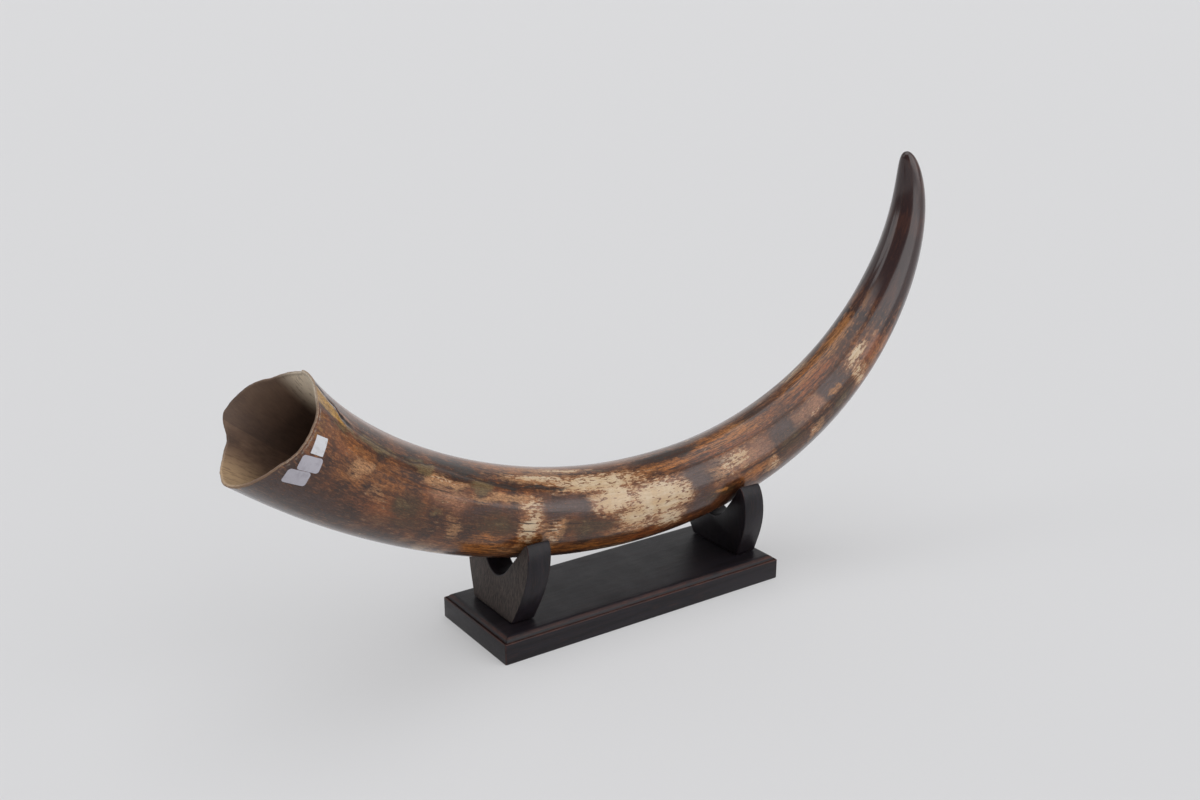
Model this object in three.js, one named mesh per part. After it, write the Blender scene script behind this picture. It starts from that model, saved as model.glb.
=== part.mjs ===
// A mammoth tusk lying across a small two-cradle stand of black-stained wood.
// Millimetres, +Z up. The origin is the centre of the board's underside. +X runs along the board
// towards the cradle under the tusk's thinner half, so the hollow root end is at -X and the tip at +X.
import * as THREE from 'three';

// ---- Board ----
const BOARD_LENGTH = 220;
const BOARD_WIDTH = 80;
const SLAB_HEIGHT = 14;
const PANEL_HEIGHT = 17;
const PANEL_INSET = 6;

// ---- Cradles: two equal plates that lean towards each other, across the tusk's curve ----
const CRADLE_THICKNESS = 16.5;
const CRADLE_LEAN = THREE.MathUtils.degToRad(6.5);
const NEAR_FOOT_X = -96;
const FAR_FOOT_X = 85.8;
const GLUE_GAP = 0.3;
const FOOT_HALF_WIDTH = 24;
const SIDE_HALF_WIDTH = 37.2;
const HORN_HEIGHT = 55;
const NOTCH_DEPTH_NEAR = 30.6;
const NOTCH_DEPTH_FAR = 32;

// ---- Tusk: the line that it grew along ----
const TUSK_LENGTH = 658;
const ROOT_CENTRE = new THREE.Vector3(-239.4, -11.1, 172);
const RISE_AT_QUARTERS = [-45.8, -18.3, 7.8, 40.3, 70.7];
const TIP_HOOK = 52;
const TIP_HOOK_POWER = 14;
const SIDE_SWING = 8;
const STRAIGHTEST_AT = 0.45;

// ---- Tusk: its thickness, its rim and its hollow root ----
const BODY_RADIUS = 29.7;
const TAPER_START = 2.17;
const TAPER_END = 0.415;
const ROOT_FLARE = 7.8;
const FLARE_REACH = 0.081;
const RIM_SETBACK = [-0.5, -0.8, 3.8, 4.2, 0.7, 0.6, 2.5, 5.5, 7, -2.5, -1.5, 2.7];
const RIM_WALL = 2;
const CAVITY_DEPTH = 225;
const CAVITY_FULLNESS = 0.6;

// ---- Stickers: thin paper on the root's side ----
const STICKER_THICKNESS = 0.4;
const STICKER_GAP = 0.4;
const STICKERS = [
  { name: 'sticker_small', along: 14.7, around: 49.8, length: 9, width: 10, turn: -13, corner: 0.2 },
  { name: 'sticker_upper', along: 15.9, around: 60.3, length: 14.2, width: 8.6, turn: -16, corner: 1.8 },
  { name: 'sticker_lower', along: 14.6, around: 70.3, length: 14.2, width: 9, turn: -17, corner: 1.8 },
];

// ---- How finely curved faces are cut ----
const SIDES = 40;
const AXIS_STEPS = 400;
const OUTER_RINGS = 62;
const CAVITY_RINGS = 16;

const IVORY = { color: 0x7a5336, roughness: 0.3, metalness: 0 };
const BLACK_WOOD = { color: 0x2a2628, roughness: 0.5, metalness: 0 };
const WHITE_PAPER = { color: 0xdcdcdc, roughness: 0.8, metalness: 0 };
const GREY_PAPER = { color: 0xa9a7ae, roughness: 0.8, metalness: 0 };

// How steeply the tusk rises, in radians, at a share of its length: one smooth curve through the
// five quarter marks, with the extra hook of the last few centimetres.
function riseAt(share) {
  let rise = TIP_HOOK * share ** TIP_HOOK_POWER;
  RISE_AT_QUARTERS.forEach((angle, i) => {
    let weight = 1;
    for (let j = 0; j < RISE_AT_QUARTERS.length; j += 1) {
      if (j !== i) weight *= (4 * share - j) / (i - j);
    }
    rise += weight * angle;
  });
  return THREE.MathUtils.degToRad(rise);
}

// How far the tusk turns out of its upright plane, in radians: the mild corkscrew of its growth.
function swingAt(share) {
  return THREE.MathUtils.degToRad(SIDE_SWING * ((share - STRAIGHTEST_AT) / STRAIGHTEST_AT) ** 2);
}

function forwardAt(share) {
  const rise = riseAt(share);
  const swing = swingAt(share);
  return new THREE.Vector3(
    Math.cos(rise) * Math.cos(swing),
    Math.cos(rise) * Math.sin(swing),
    Math.sin(rise),
  );
}

// The tusk's centre line, walked in short straight steps from the root's centre to the tip.
function walkAxis() {
  const points = [ROOT_CENTRE.clone()];
  for (let i = 0; i < AXIS_STEPS; i += 1) {
    const step = forwardAt((i + 0.5) / AXIS_STEPS).multiplyScalar(TUSK_LENGTH / AXIS_STEPS);
    points.push(points[i].clone().add(step));
  }
  return points;
}

const AXIS = walkAxis();

function axisPoint(share) {
  const place = THREE.MathUtils.clamp(share, 0, 1) * AXIS_STEPS;
  const i = Math.min(Math.floor(place), AXIS_STEPS - 1);
  const point = AXIS[i].clone().lerp(AXIS[i + 1], place - i);
  const beyond = share - THREE.MathUtils.clamp(share, 0, 1);
  return point.addScaledVector(forwardAt(0), beyond * TUSK_LENGTH);
}

// The point at a radius from the centre line. Angle 0 is the tusk's upper side, and a quarter turn is
// the side that faces -Y.
function pointRound(share, angle, radius) {
  const rise = riseAt(Math.max(share, 0));
  const swing = swingAt(Math.max(share, 0));
  const across = new THREE.Vector3(
    -Math.sin(rise) * Math.cos(swing),
    -Math.sin(rise) * Math.sin(swing),
    Math.cos(rise),
  );
  const sideways = new THREE.Vector3(Math.sin(swing), -Math.cos(swing), 0);
  return axisPoint(share)
    .addScaledVector(across, radius * Math.cos(angle))
    .addScaledVector(sideways, radius * Math.sin(angle));
}

// A long even body, a flare at the root and a blunt tip.
function outerRadius(share) {
  const inside = THREE.MathUtils.clamp(share, 0, 1);
  const body = BODY_RADIUS * (1 - inside ** TAPER_START) ** TAPER_END;
  return body + ROOT_FLARE * Math.exp(-share / FLARE_REACH) * (1 - inside);
}

// How far the broken rim stands back from the root's end, as a share of the length: a smooth closed
// curve through the set-backs, which are evenly spaced round the mouth.
function rimShare(angle) {
  const count = RIM_SETBACK.length;
  const place = THREE.MathUtils.euclideanModulo(angle / (2 * Math.PI), 1) * count;
  const i = Math.floor(place);
  const t = place - i;
  const [a, b, c, d] = [-1, 0, 1, 2].map((k) => RIM_SETBACK[(i + k + count) % count]);
  const slope = 0.5 * (c - a);
  const bend = a - 2.5 * b + 2 * c - 0.5 * d;
  const twist = 0.5 * (d - a) + 1.5 * (b - c);
  return (b + t * (slope + t * (bend + t * twist))) / TUSK_LENGTH;
}

function outerPoint(rank, angle) {
  const rim = rimShare(angle);
  const share = rim + (1 - rim) * rank;
  return pointRound(share, angle, outerRadius(share));
}

function cavityPoint(rank, angle) {
  const share = rimShare(angle) * (1 - rank) + (CAVITY_DEPTH / TUSK_LENGTH) * rank;
  return pointRound(share, angle, (outerRadius(share) - RIM_WALL) * (1 - rank) ** CAVITY_FULLNESS);
}

// One closed skin over a stack of rings, with a single point closing each end.
function closedSkin(startPoint, rings, endPoint) {
  const sides = rings[0].length;
  const vertices = [startPoint, ...rings.flat(), endPoint];
  const last = vertices.length - 1;
  const at = (ring, side) => 1 + ring * sides + (side % sides);
  const triangles = [];
  for (let side = 0; side < sides; side += 1) {
    triangles.push(0, at(0, side), at(0, side + 1));
    triangles.push(last, at(rings.length - 1, side + 1), at(rings.length - 1, side));
    for (let ring = 0; ring + 1 < rings.length; ring += 1) {
      triangles.push(at(ring, side), at(ring + 1, side), at(ring + 1, side + 1));
      triangles.push(at(ring, side), at(ring + 1, side + 1), at(ring, side + 1));
    }
  }
  const geometry = new THREE.BufferGeometry();
  const positions = new THREE.Float32BufferAttribute(vertices.flatMap((v) => v.toArray()), 3);
  geometry.setAttribute('position', positions);
  geometry.setIndex(triangles);
  geometry.computeVertexNormals();
  return geometry;
}

function ringOf(place) {
  return Array.from({ length: SIDES }, (_, side) => place((-2 * Math.PI * side) / SIDES));
}

// From the bottom of the hollow root out to the rim, over it, and along the outside to the tip.
// The rings close up towards the tip and the cavity's end, where the shape changes fastest.
function tuskGeometry() {
  const rings = [];
  for (let i = CAVITY_RINGS - 1; i >= 0; i -= 1) {
    rings.push(ringOf((angle) => cavityPoint(1 - (1 - i / CAVITY_RINGS) ** 1.5, angle)));
  }
  for (let i = 0; i < OUTER_RINGS; i += 1) {
    rings.push(ringOf((angle) => outerPoint(1 - (1 - i / OUTER_RINGS) ** 1.5, angle)));
  }
  return closedSkin(axisPoint(CAVITY_DEPTH / TUSK_LENGTH), rings, axisPoint(1));
}

// The board is a stack of rectangles: a square-edged slab, a narrow groove, and a quarter-round
// that rises to the raised panel.
function boardGeometry() {
  const grooveWidth = 1.6;
  const grooveDepth = 0.8;
  const round = PANEL_INSET - grooveWidth;
  const levels = [
    [0, 0],
    [0, SLAB_HEIGHT],
    [0.5, SLAB_HEIGHT],
    [0.8, SLAB_HEIGHT - grooveDepth],
    [grooveWidth, SLAB_HEIGHT - grooveDepth],
  ];
  for (let step = 1; step <= 5; step += 1) {
    const turn = (step / 5) * (Math.PI / 2);
    const rise = PANEL_HEIGHT - SLAB_HEIGHT + grooveDepth;
    levels.push([
      grooveWidth + round * (1 - Math.cos(turn)),
      SLAB_HEIGHT - grooveDepth + rise * Math.sin(turn),
    ]);
  }
  const rings = levels.map(([inset, height]) => {
    const x = BOARD_LENGTH / 2 - inset;
    const y = BOARD_WIDTH / 2 - inset;
    return [[x, y], [x, -y], [-x, -y], [-x, y]].map(([cx, cy]) => new THREE.Vector3(cx, cy, height));
  });
  return closedSkin(new THREE.Vector3(0, 0, 0), rings, new THREE.Vector3(0, 0, PANEL_HEIGHT));
}

// The outline of a cradle: a narrow foot, sides that swell and close in again to two rounded
// horns, and between them a V with a rounded bottom that takes the tusk.
function cradleOutline(notchDepth) {
  const hornTop = HORN_HEIGHT;
  const flankTop = { across: 27, up: hornTop - notchDepth + 24.5 };
  const notchBottom = hornTop - notchDepth;
  const flankEnd = { across: 14, up: notchBottom + 8.4 };
  const shape = new THREE.Shape();
  shape.moveTo(FOOT_HALF_WIDTH, 0);
  shape.bezierCurveTo(31, 15, SIDE_HALF_WIDTH + 0.4, 26, SIDE_HALF_WIDTH, hornTop - 13);
  shape.quadraticCurveTo(SIDE_HALF_WIDTH - 0.3, hornTop - 5, 33.5, hornTop - 0.8);
  shape.quadraticCurveTo(31, hornTop + 1, flankTop.across, flankTop.up);
  shape.lineTo(flankEnd.across, flankEnd.up);
  shape.quadraticCurveTo(0, notchBottom - 8.4, -flankEnd.across, flankEnd.up);
  shape.lineTo(-flankTop.across, flankTop.up);
  shape.quadraticCurveTo(-31, hornTop + 1, -33.5, hornTop - 0.8);
  shape.quadraticCurveTo(-SIDE_HALF_WIDTH + 0.3, hornTop - 5, -SIDE_HALF_WIDTH, hornTop - 13);
  shape.bezierCurveTo(-SIDE_HALF_WIDTH - 0.4, 26, -31, 15, -FOOT_HALF_WIDTH, 0);
  shape.closePath();
  return shape;
}

// A plate cut from that outline. Its grain runs up, its foot is cut level, and lean slides its top
// along the board.
function cradleGeometry(lean, notchDepth) {
  const geometry = new THREE.ExtrudeGeometry(cradleOutline(notchDepth), {
    depth: CRADLE_THICKNESS,
    bevelEnabled: false,
    curveSegments: 10,
  });
  const slide = Math.tan(lean);
  const standUp = new THREE.Matrix4().set(
    0, slide, 1, 0,
    1, 0, 0, 0,
    0, 1, 0, 0,
    0, 0, 0, 1,
  );
  geometry.applyMatrix4(standUp);
  return geometry;
}

// The outline of a sticker with rounded corners, as offsets along and around the tusk.
function stickerOutline({ length, width, turn, corner }) {
  const halfLength = length / 2 - corner;
  const halfWidth = width / 2 - corner;
  const spin = THREE.MathUtils.degToRad(turn);
  const outline = [];
  [[1, 1], [-1, 1], [-1, -1], [1, -1]].forEach(([x, y], quarter) => {
    for (let step = 0; step <= 3; step += 1) {
      const angle = (quarter + step / 3) * (Math.PI / 2);
      outline.push(new THREE.Vector2(
        x * halfLength + corner * Math.cos(angle),
        y * halfWidth + corner * Math.sin(angle),
      ).rotateAround(new THREE.Vector2(), spin));
    }
  });
  return outline;
}

// A sticker follows the tusk's surface, just clear of it.
function stickerGeometry(sticker) {
  const outline = stickerOutline(sticker);
  const place = (offset, spread, lift) => {
    const share = (sticker.along + offset.x * spread) / TUSK_LENGTH;
    const radius = outerRadius(share);
    const angle = (sticker.around + offset.y * spread) / outerRadius(sticker.along / TUSK_LENGTH);
    return pointRound(share, angle, radius + lift);
  };
  const middle = new THREE.Vector2();
  const under = STICKER_GAP;
  const over = STICKER_GAP + STICKER_THICKNESS;
  const rings = [
    [0.5, under], [1, under], [1, over], [0.5, over],
  ].map(([spread, lift]) => outline.map((offset) => place(offset, spread, lift)));
  return closedSkin(place(middle, 0, under), rings, place(middle, 0, over));
}

function piece(name, geometry, look) {
  const mesh = new THREE.Mesh(geometry, new THREE.MeshStandardMaterial(look));
  mesh.name = name;
  return mesh;
}

function stand() {
  const group = new THREE.Group();
  const nearCradle = piece('cradle_near', cradleGeometry(CRADLE_LEAN, NOTCH_DEPTH_NEAR), BLACK_WOOD);
  const farCradle = piece('cradle_far', cradleGeometry(-CRADLE_LEAN, NOTCH_DEPTH_FAR), BLACK_WOOD);
  nearCradle.position.set(NEAR_FOOT_X, 0, PANEL_HEIGHT + GLUE_GAP);
  farCradle.position.set(FAR_FOOT_X, 0, PANEL_HEIGHT + GLUE_GAP);
  group.add(piece('stand_board', boardGeometry(), BLACK_WOOD), nearCradle, farCradle);
  return group;
}

function stickers() {
  const group = new THREE.Group();
  STICKERS.forEach((sticker) => {
    const paper = sticker.name === 'sticker_small' ? WHITE_PAPER : GREY_PAPER;
    group.add(piece(sticker.name, stickerGeometry(sticker), paper));
  });
  return group;
}

const object = new THREE.Group();
object.add(piece('tusk', tuskGeometry(), IVORY), stand(), stickers());

export default object;
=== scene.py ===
# %% [markdown]
# # A mammoth tusk on its stand
#
# The object is one tusk, hollow at its root and nearly black at its tip, that lies across a small
# stand: a moulded board with two notched cradles. Its measured solids come first, as a fixed frame.
# Everything here is then made in metres around them, in the same place, so that nothing has to be
# fitted by eye afterwards.

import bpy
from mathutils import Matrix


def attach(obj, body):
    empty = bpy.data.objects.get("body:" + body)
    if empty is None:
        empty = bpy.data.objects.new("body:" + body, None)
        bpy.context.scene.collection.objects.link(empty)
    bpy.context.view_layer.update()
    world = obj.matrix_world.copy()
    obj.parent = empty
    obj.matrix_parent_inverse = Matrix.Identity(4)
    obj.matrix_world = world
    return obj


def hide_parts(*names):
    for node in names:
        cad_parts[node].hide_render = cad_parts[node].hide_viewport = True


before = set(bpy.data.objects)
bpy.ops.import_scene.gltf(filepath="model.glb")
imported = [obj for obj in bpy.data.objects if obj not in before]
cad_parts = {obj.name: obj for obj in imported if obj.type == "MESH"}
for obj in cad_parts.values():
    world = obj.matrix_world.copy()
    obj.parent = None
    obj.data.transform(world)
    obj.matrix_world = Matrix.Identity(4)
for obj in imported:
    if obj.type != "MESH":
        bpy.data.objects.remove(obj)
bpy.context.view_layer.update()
print("solids:", sorted(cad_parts))

# %% The other modules, and a few sizes in everyday units
import math

import bmesh
import bpy
from mathutils import Vector
from mathutils.bvhtree import BVHTree
from mathutils.geometry import barycentric_transform

MM = 0.001


def paint(red, green, blue):
    """A colour in a paint chart's 0 to 255 numbers, as the linear colour that a shader wants."""
    def linear(level):
        level /= 255
        return level / 12.92 if level <= 0.04045 else ((level + 0.055) / 1.055) ** 2.4
    return (linear(red), linear(green), linear(blue), 1.0)


print("mid grey is", [round(c, 3) for c in paint(128, 128, 128)])

# %% [markdown]
# ## Node trees written as sums
#
# Both the tusk's shape and its finish are node trees. Placing nodes one by one hides the idea, so
# one small class wraps an output socket and lets Python's own operators add the Math nodes. A
# vector goes through Vector Math. Every other kind of node comes from one method, `add`, which
# takes the node's type, its settings, and what goes into its sockets.

# %% The wire class
class Wire:
    """An output socket. A sum on it adds the node that works the sum out."""

    def __init__(self, socket):
        self.socket = socket
        self.tree = socket.id_data

    @staticmethod
    def add(tree, kind, settings=None, inputs=None):
        """Adds any node: its settings first, then a value or a wire for each named socket."""
        node = tree.nodes.new(kind)
        for name, value in (settings or {}).items():
            if name == "stops":
                Wire.set_stops(node.color_ramp, value)
            else:
                setattr(node, name, value)
        for key, value in (inputs or {}).items():
            sockets = [s for s in node.inputs if s.enabled]
            index = key if isinstance(key, int) else [s.name for s in sockets].index(key)
            socket = sockets[index]
            if isinstance(value, Wire):
                tree.links.new(value.socket, socket)
            elif value is not None:
                socket.default_value = value
        outputs = [s for s in node.outputs if s.enabled]
        return Wire(outputs[0]) if outputs else node

    @staticmethod
    def set_stops(ramp, stops):
        while len(ramp.elements) < len(stops):
            ramp.elements.new(0.5)
        for element, (position, colour) in zip(ramp.elements, stops):
            element.position = position
            element.color = colour

    def out(self, name):
        """Another output of the same node."""
        return Wire(next(s for s in self.socket.node.outputs if s.enabled and s.name == name))

    def is_vector(self):
        return self.socket.type in ("VECTOR", "RGBA")

    def sum(self, operation, *others, swapped=False):
        terms = [self, *others]
        if swapped:
            terms.reverse()
        vector = any(isinstance(t, tuple) or (isinstance(t, Wire) and t.is_vector()) for t in terms)
        if vector:
            terms = [t if isinstance(t, (tuple, Wire)) else (t, t, t) for t in terms]
        kind = "ShaderNodeVectorMath" if vector else "ShaderNodeMath"
        return Wire.add(self.tree, kind, {"operation": operation}, dict(enumerate(terms)))

    def __add__(self, other): return self.sum("ADD", other)
    def __radd__(self, other): return self.sum("ADD", other)
    def __sub__(self, other): return self.sum("SUBTRACT", other)
    def __rsub__(self, other): return self.sum("SUBTRACT", other, swapped=True)
    def __mul__(self, other): return self.sum("MULTIPLY", other)
    def __rmul__(self, other): return self.sum("MULTIPLY", other)
    def __truediv__(self, other): return self.sum("DIVIDE", other)
    def __rtruediv__(self, other): return self.sum("DIVIDE", other, swapped=True)
    def __pow__(self, other): return self.sum("POWER", other)
    def __neg__(self): return self.sum("MULTIPLY", -1.0)

    def sin(self): return self.sum("SINE")
    def cos(self): return self.sum("COSINE")
    def exp(self): return self.sum("EXPONENT")
    def abs(self): return self.sum("ABSOLUTE")
    def max(self, other): return self.sum("MAXIMUM", other)
    def min(self, other): return self.sum("MINIMUM", other)

    def split(self):
        """The x, y and z of a vector."""
        xyz = Wire.add(self.tree, "ShaderNodeSeparateXYZ", None, {"Vector": self})
        return xyz.out("X"), xyz.out("Y"), xyz.out("Z")

    def length(self):
        node = Wire.add(self.tree, "ShaderNodeVectorMath", {"operation": "LENGTH"}, {0: self})
        return node.out("Value")

    def step(self, start, end, low=0.0, high=1.0, smooth=True):
        """Goes from low to high as this value goes from start to end, and stays there outside."""
        kind = {"interpolation_type": "SMOOTHSTEP" if smooth else "LINEAR"}
        names = ("From Min", "From Max", "To Min", "To Max")
        inputs = {"Value": self, **dict(zip(names, (start, end, low, high)))}
        return Wire.add(self.tree, "ShaderNodeMapRange", kind, inputs)

    def within(self, start, full, still, end):
        """Rises from 0 at start to 1 at full, stays, and falls from still to end."""
        return self.step(start, full) * self.step(end, still)

    def grain(self, scale, detail=3.0, roughness=0.5, distortion=0.0):
        """Noise from 0 to 1 at this place."""
        inputs = {"Vector": self, "Scale": scale, "Detail": detail, "Roughness": roughness,
                  "Distortion": distortion}
        return Wire.add(self.tree, "ShaderNodeTexNoise", None, inputs)


def vector(tree, x, y, z):
    return Wire.add(tree, "ShaderNodeCombineXYZ", None, {"X": x, "Y": y, "Z": z})


def mix(share, low, high):
    """Goes from one colour to another as share goes from 0 to 1."""
    inputs = {"Factor": share, "A": low, "B": high}
    return Wire.add(share.tree, "ShaderNodeMix", {"data_type": "RGBA"}, inputs).out("Result")


def along_path(x, corners):
    """The height at x of a bent line through its corners, level past its two ends."""
    height = corners[0][1]
    for (x0, y0), (x1, y1) in zip(corners, corners[1:]):
        height = x.step(x0, x1, 0.0, y1 - y0, smooth=False) + height
    return height


print("operators ready on", Wire.__name__)

# %% [markdown]
# Every finish starts from an empty tree and ends in one Principled shader, often with a Bump node
# before it. Three short helpers say that once.

# %% How each finish starts and ends
def new_finish(name):
    """A material and its empty node tree."""
    material = bpy.data.materials.new(name)
    material.use_nodes = True
    material.node_tree.nodes.clear()
    return material, material.node_tree


def bumped(height, strength, distance):
    """The normal that a height gives the surface. The distance is in metres."""
    inputs = {"Strength": strength, "Distance": distance, "Height": height}
    return Wire.add(height.tree, "ShaderNodeBump", None, inputs)


def finish_with(tree, inputs):
    """Ends a tree in a Principled shader, whose inputs are values or wires."""
    shader = Wire.add(tree, "ShaderNodeBsdfPrincipled", None, inputs)
    output = tree.nodes.new("ShaderNodeOutputMaterial")
    tree.links.new(shader.socket, output.inputs["Surface"])


print("helpers ready:", new_finish.__name__, bumped.__name__, finish_with.__name__)

# %% [markdown]
# ## The camera and the studio
#
# The camera stands to the left of the root end, a little above the tusk, and looks down across it.
# The studio is a pale floor under soft light from all round, with one wide softbox in front to the
# right. That softbox draws the long pale band down the tip, and the pale room is what the varnish
# shows along the tusk's edges.

# %% Camera
scene = bpy.context.scene
scene.view_settings.view_transform = "Standard"
EYE = Vector((-460.5, -653.4, 396.5)) * MM
YAW = math.radians(34.41)
PITCH = math.radians(17.77)
LENS = 38.85
looking = Vector((
    math.sin(YAW) * math.cos(PITCH),
    math.cos(YAW) * math.cos(PITCH),
    -math.sin(PITCH),
))
camera = bpy.data.objects.new("camera", bpy.data.cameras.new("camera"))
camera.data.lens = LENS
camera.data.clip_start = 0.02
camera.data.clip_end = 60
camera.location = EYE
camera.rotation_euler = looking.to_track_quat("-Z", "Y").to_euler()
scene.collection.objects.link(camera)
scene.camera = camera
print("the camera looks along", [round(c, 3) for c in looking])

# %% [markdown]
# Lamps near the floor would light it in a pool and leave the far floor dim. A dome of light has no
# such edge, so the softboxes are painted on the sky: a wide one in front with a fainter one
# beside it, a narrow one behind and a large one overhead, with a pale wall low down and a dark
# ceiling above it.

# %% The room as a dome of light
room = bpy.data.worlds.new("room")
room.use_nodes = True
room.node_tree.nodes.clear()
sky = Wire.add(room.node_tree, "ShaderNodeTexCoord").out("Generated")
sky_x, sky_y, sky_z = sky.split()
azimuth = sky_y.sum("ARCTAN2", sky_x) * math.degrees(1)
elevation = sky_z.sum("ARCSINE") * math.degrees(1)


def window(azimuths, elevations, feather):
    """1 inside a window of the sky, in degrees from +X towards +Y and above the floor."""
    (left, right), (low, high) = azimuths, elevations
    across = azimuth.within(left - feather, left, right, right + feather)
    return across * elevation.within(low - feather, low, high, high + feather)


HORIZON_LIGHT = 0.66
CEILING_LIGHT = 0.26
FLOOR_EDGE_LIGHT = 0.075
SOFTBOXES = {  # azimuths, elevations, feather and strength
    "front": ((-102, -42), (3, 52), 5, 1.8),
    "front fill": ((-40, -24), (14, 45), 10, 0.6),
    "back left": ((138, 162), (18, 50), 5, 1.5),
    "overhead": ((-180, 180), (62, 90), 8, 1.5),
}
low_wall = elevation.step(6.0, 2.0)
wall = low_wall.max(window((5, 120), (0, 26), 14))
light = CEILING_LIGHT + wall * (HORIZON_LIGHT - CEILING_LIGHT) + low_wall * FLOOR_EDGE_LIGHT
above_horizon = elevation.step(2.4, 4.5)
for azimuths, elevations, feather, strength in SOFTBOXES.values():
    light = light + window(azimuths, elevations, feather) * above_horizon * strength
background = Wire.add(room.node_tree, "ShaderNodeBackground", None,
                      {"Color": (0.992, 0.994, 1.0, 1), "Strength": light})
sky_out = room.node_tree.nodes.new("ShaderNodeOutputWorld")
room.node_tree.links.new(background.socket, sky_out.inputs["Surface"])
scene.world = room
print("nodes in the dome:", len(room.node_tree.nodes))

# %% Floor
floor_mesh = bpy.data.meshes.new("floor")
REACH = 90
FLOOR_TONE = paint(165, 165, 167)
FLOOR_GLOW = 0.285  # light that other walls would throw into the shadows
corners = [(-REACH, -REACH, 0), (REACH, -REACH, 0), (REACH, REACH, 0), (-REACH, REACH, 0)]
floor_mesh.from_pydata(corners, [], [(0, 1, 2, 3)])
floor = bpy.data.objects.new("floor", floor_mesh)
scene.collection.objects.link(floor)
floor_paper = bpy.data.materials.new("studio paper")
floor_paper.use_nodes = True
paper_shader = floor_paper.node_tree.nodes["Principled BSDF"]
paper_shader.inputs["Base Color"].default_value = FLOOR_TONE
paper_shader.inputs["Roughness"].default_value = 0.9
paper_shader.inputs["Emission Color"].default_value = (1, 1, 1, 1)
paper_shader.inputs["Emission Strength"].default_value = FLOOR_GLOW
floor_mesh.materials.append(floor_paper)
print("the floor reaches", REACH, "m each way")

# %% [markdown]
# ## The tusk's shape
#
# A tusk grows at its root, a layer at a time, so its shape follows a rule: a centre line that curls
# more and more, a radius at each share of its length, and a hollow cone at the root where the next
# layer would have formed. Geometry Nodes can hold that rule itself. A chain of points is laid along
# the growing direction, and three grids are wrapped round it: the hollow, the thin broken rim and
# the bark. Changing one named input then changes the whole tusk, which a hand-made mesh can't do.

# %% The tusk's sizes
TUSK_LENGTH = 658.0
ROOT_CENTRE = (-239.4, -11.1, 172.0)
RISE_AT_QUARTERS = (-45.8, -18.3, 7.8, 40.3, 70.7)
TIP_HOOK = 52.0
TIP_HOOK_POWER = 14.0
SIDE_SWING = 8.0
STRAIGHTEST_AT = 0.45
RIM_SETBACK = (-0.5, -0.8, 3.8, 4.2, 0.7, 0.6, 2.5, 5.5, 7.0, -2.5, -1.5, 2.7)
LEAST_SETBACK, SETBACK_SPAN = -4.0, 12.0
RIM_OFFSET = 0.7
CHIP_DEPTH = 1.6
LIP_BULGE = 0.7
RING_CROWDING = 0.6
SHAPE_INPUTS = {
    "Length": TUSK_LENGTH,
    "Body Radius": 29.7,
    "Taper Start": 2.17,
    "Taper End": 0.415,
    "Root Flare": 7.8,
    "Flare Reach": 0.081,
    "Rim Wall": 2.0,
    "Cavity Depth": 225.0,
    "Cavity Fullness": 0.6,
    "Relief": 1.0,
}
SIDES = 144
BARK_RINGS = 520
LIP_RINGS = 7
CAVITY_RINGS = 60
SEAM_ANGLE = -100.0
NOISE_SEED = 4
SEED_STEP = 150.0
WELD_WITHIN = 5e-6
print("faces planned:", SIDES * (BARK_RINGS + LIP_RINGS + CAVITY_RINGS))


# %% The growing direction as a polynomial
def quartic_through(heights):
    """The powers' factors, lowest first, of the quartic that passes through five even marks."""
    factors = [0.0] * 5
    for i, height in enumerate(heights):
        term = [1.0]
        for j in range(5):
            if j != i:
                shifted = [0.0] + [c * 4 / (i - j) for c in term]
                fixed = [c * -j / (i - j) for c in term] + [0.0]
                term = [a + b for a, b in zip(shifted, fixed)]
        factors = [f + height * t for f, t in zip(factors, term)]
    return factors


RISE_FACTORS = quartic_through(RISE_AT_QUARTERS)
print("rise in degrees = " + " + ".join(f"{c:.2f} u^{n}" for n, c in enumerate(RISE_FACTORS)))


def growth_angles(share):
    """How steeply the tusk rises and how far it turns aside, in radians, at a share of length."""
    rise = share * RISE_FACTORS[4] + RISE_FACTORS[3]
    for factor in RISE_FACTORS[2::-1]:
        rise = rise * share + factor
    rise = rise + (share ** TIP_HOOK_POWER) * TIP_HOOK
    swing = ((share - STRAIGHTEST_AT) / STRAIGHTEST_AT) ** 2.0 * SIDE_SWING
    return rise * math.radians(1), swing * math.radians(1)


def growth_axes(share):
    """Forward, upper side and near side of the tusk, as three vectors."""
    rise, swing = growth_angles(share)
    tree = share.tree
    forward = vector(tree, rise.cos() * swing.cos(), rise.cos() * swing.sin(), rise.sin())
    upper = vector(tree, -(rise.sin() * swing.cos()), -(rise.sin() * swing.sin()), rise.cos())
    near = vector(tree, swing.sin(), -swing.cos(), 0.0)
    return forward, upper, near


# %% The tree
growth = bpy.data.node_groups.new("tusk_growth", "GeometryNodeTree")
growth.interface.new_socket("Geometry", in_out="OUTPUT", socket_type="NodeSocketGeometry")
growth.interface.new_socket("Geometry", in_out="INPUT", socket_type="NodeSocketGeometry")
for name, value in SHAPE_INPUTS.items():
    socket = growth.interface.new_socket(name, in_out="INPUT", socket_type="NodeSocketFloat")
    socket.default_value = value
socket = growth.interface.new_socket("Seed", in_out="INPUT", socket_type="NodeSocketInt")
socket.default_value = NOISE_SEED
for name in ("Bark", "Dentine"):
    growth.interface.new_socket(name, in_out="INPUT", socket_type="NodeSocketMaterial")
given = Wire.add(growth, "NodeGroupInput")
length = given.out("Length")
seed_shift = given.out("Seed") * SEED_STEP

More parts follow.
